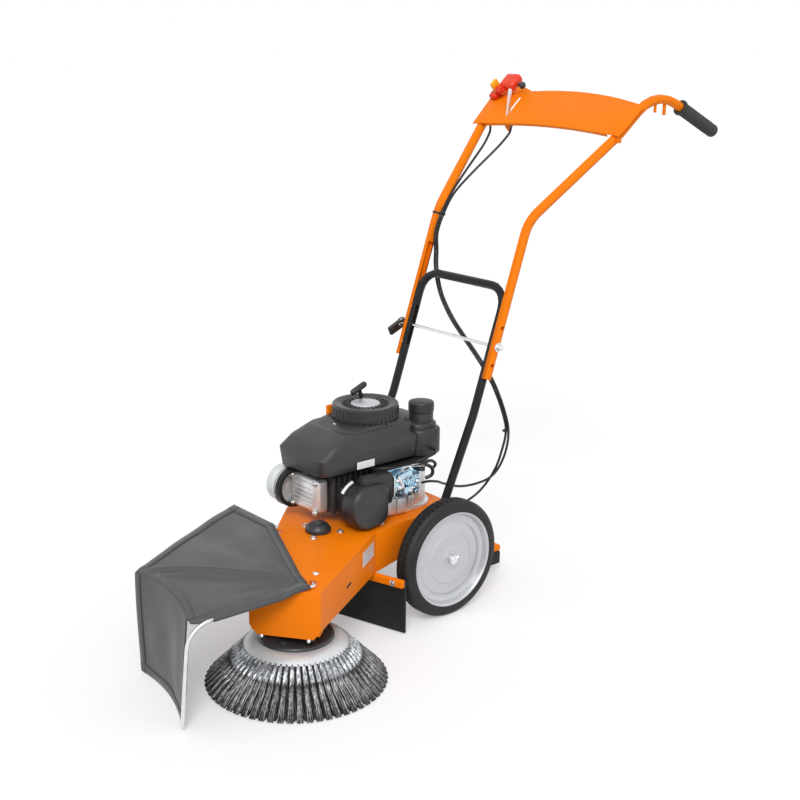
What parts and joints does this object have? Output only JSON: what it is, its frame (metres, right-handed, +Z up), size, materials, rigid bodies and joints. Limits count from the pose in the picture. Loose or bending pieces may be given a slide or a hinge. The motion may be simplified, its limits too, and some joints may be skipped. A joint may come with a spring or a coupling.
{
  "type": "weed brush machine",
  "caption": "Walk-behind petrol machine that clears weeds from paving joints with a spinning horizontal wire brush on an offset arm.",
  "frame": {"origin": "on the ground, under the middle of the whole machine's box", "axes": "+Z up, +Y back to the operator, +X to the machine's left"},
  "size_m": [0.692, 1.5663, 1.1989],
  "materials": {
    "orange_paint": "satin powder coat",
    "black_paint": "satin powder coat",
    "black_plastic": "fine grained",
    "engine_casting": "bare casting",
    "rim_finish": "silver lacquer",
    "rubber": "matt",
    "tyre": "matt",
    "zinc_steel": "bright zinc plate",
    "brush_wire": "twisted wire, dull",
    "tarpaulin": "coated woven sheet",
    "red_plastic": "moulded",
    "yellow_plastic": "moulded"
  },
  "bodies": {
    "machine": {"air_filter_base": "black_plastic", "air_filter_cover": "black_plastic", "axle": "zinc_steel", "axle_bracket_left": "orange_paint", "axle_bracket_right": "orange_paint", "bearing_plate": "orange_paint", "carburettor": "engine_casting", "chassis": "orange_paint", "clutch_cable": "rubber", "crankcase": "engine_casting", "cylinder": "engine_casting", "drive_belt": "rubber", "engine_shroud": "black_plastic", "flap_bar": "orange_paint", "fuel_hose": "rubber", "fuel_tank": "black_plastic", "muffler": "engine_casting", "muffler_guard": "black_paint", "push_frame": "black_paint", "rear_tread": "orange_paint", "rocker_cover": "engine_casting", "rubber_flap": "rubber", "spindle_housing": "black_paint", "starter_housing": "black_plastic", "throttle_cable": "rubber", "tread_pad": "rubber"},
    "wheel_left": {"tyre_left": "tyre", "rim_left": "rim_finish"},
    "wheel_right": {"tyre_right": "tyre", "rim_right": "rim_finish"},
    "brush": {"spindle": "zinc_steel", "brush_pulley": "zinc_steel", "brush_carrier": "black_paint", "brush_dish": "zinc_steel", "brush_knots": "brush_wire", "brush_nut": "zinc_steel"},
    "crank": {"crankshaft": "zinc_steel", "engine_pulley": "zinc_steel", "flywheel_fan": "engine_casting"},
    "tensioner": {"pivot_cap": "black_plastic", "tensioner_arm": "zinc_steel", "idler_pulley": "zinc_steel"},
    "handle": {"handle_tube_left": "orange_paint", "handle_tube_right": "orange_paint", "handle_panel": "orange_paint", "grip_left": "rubber", "grip_right": "rubber", "clamp_rod": "zinc_steel", "clamp_nut": "zinc_steel", "control_bracket": "black_plastic", "lever_block": "yellow_plastic"},
    "cam": {"cam_lever": "black_plastic"},
    "clutch": {"clutch_lever": "red_plastic"},
    "throttle": {"throttle_lever": "zinc_steel"},
    "starter_pull": {"starter_handle": "black_plastic"},
    "filler_cap": {"fuel_cap": "black_plastic"},
    "guard": {"guard_cloth": "tarpaulin", "guard_rod_near": "zinc_steel", "guard_rod_far": "zinc_steel"}
  },
  "joints": [
    {"name": "wheel_left_spin", "type": "hinge", "parent": "machine", "child": "wheel_left", "pos_m": [0.11142, -0.01662, 0.14], "axis": [1, 0, 0], "continuous": true},
    {"name": "wheel_right_spin", "type": "hinge", "parent": "machine", "child": "wheel_right", "pos_m": [-0.25858, -0.01662, 0.14], "axis": [1, 0, 0], "continuous": true},
    {"name": "brush_spin", "type": "hinge", "parent": "machine", "child": "brush", "pos_m": [0.15642, -0.47862, 0.1], "axis": [0, 0, 1], "continuous": true},
    {"name": "crank_spin", "type": "hinge", "parent": "machine", "child": "crank", "pos_m": [-0.07358, -0.11062, 0.3], "axis": [0, 0, 1], "continuous": true},
    {"name": "tensioner_swing", "type": "hinge", "parent": "machine", "child": "tensioner", "pos_m": [-0.01058, -0.29562, 0.23], "axis": [0, 0, 1], "range_deg": [0, 4]},
    {"name": "handle_height", "type": "slide", "parent": "machine", "child": "handle", "axis": [0, 0.3206, 0.9472], "range_m": [-0.045, 0.045], "deforming": ["clutch_cable", "throttle_cable"]},
    {"name": "cam_open", "type": "hinge", "parent": "handle", "child": "cam", "pos_m": [-0.25108, 0.14933, 0.61], "axis": [0, 0.419, -0.908], "range_deg": [0, 90]},
    {"name": "clutch_squeeze", "type": "hinge", "parent": "handle", "child": "clutch", "pos_m": [-0.28528, 0.49876, 1.16684], "axis": [-1, 0, 0], "range_deg": [0, 8]},
    {"name": "throttle_swing", "type": "hinge", "parent": "handle", "child": "throttle", "pos_m": [-0.22558, 0.4717, 1.07845], "axis": [-1, 0, 0], "range_deg": [0, 20]},
    {"name": "starter_pull_out", "type": "slide", "parent": "machine", "child": "starter_pull", "axis": [0, -0.3891, 0.9212], "range_m": [0, 0.3]},
    {"name": "filler_cap_turn", "type": "hinge", "parent": "machine", "child": "filler_cap", "pos_m": [-0.03358, 0.02538, 0.46], "axis": [0, 0, 1], "range_deg": [0, 120]},
    {"name": "guard_fold", "type": "hinge", "parent": "machine", "child": "guard", "pos_m": [0.23442, -0.48562, 0.2393], "axis": [-0.9283, 0.3719, 0], "range_deg": [0, 60]}
  ],
  "couplings": [
    {"joint": "crank_spin", "follows": "brush_spin", "ratio": 2},
    {"joint": "clutch_squeeze", "follows": "tensioner_swing", "ratio": 2}
  ]
}
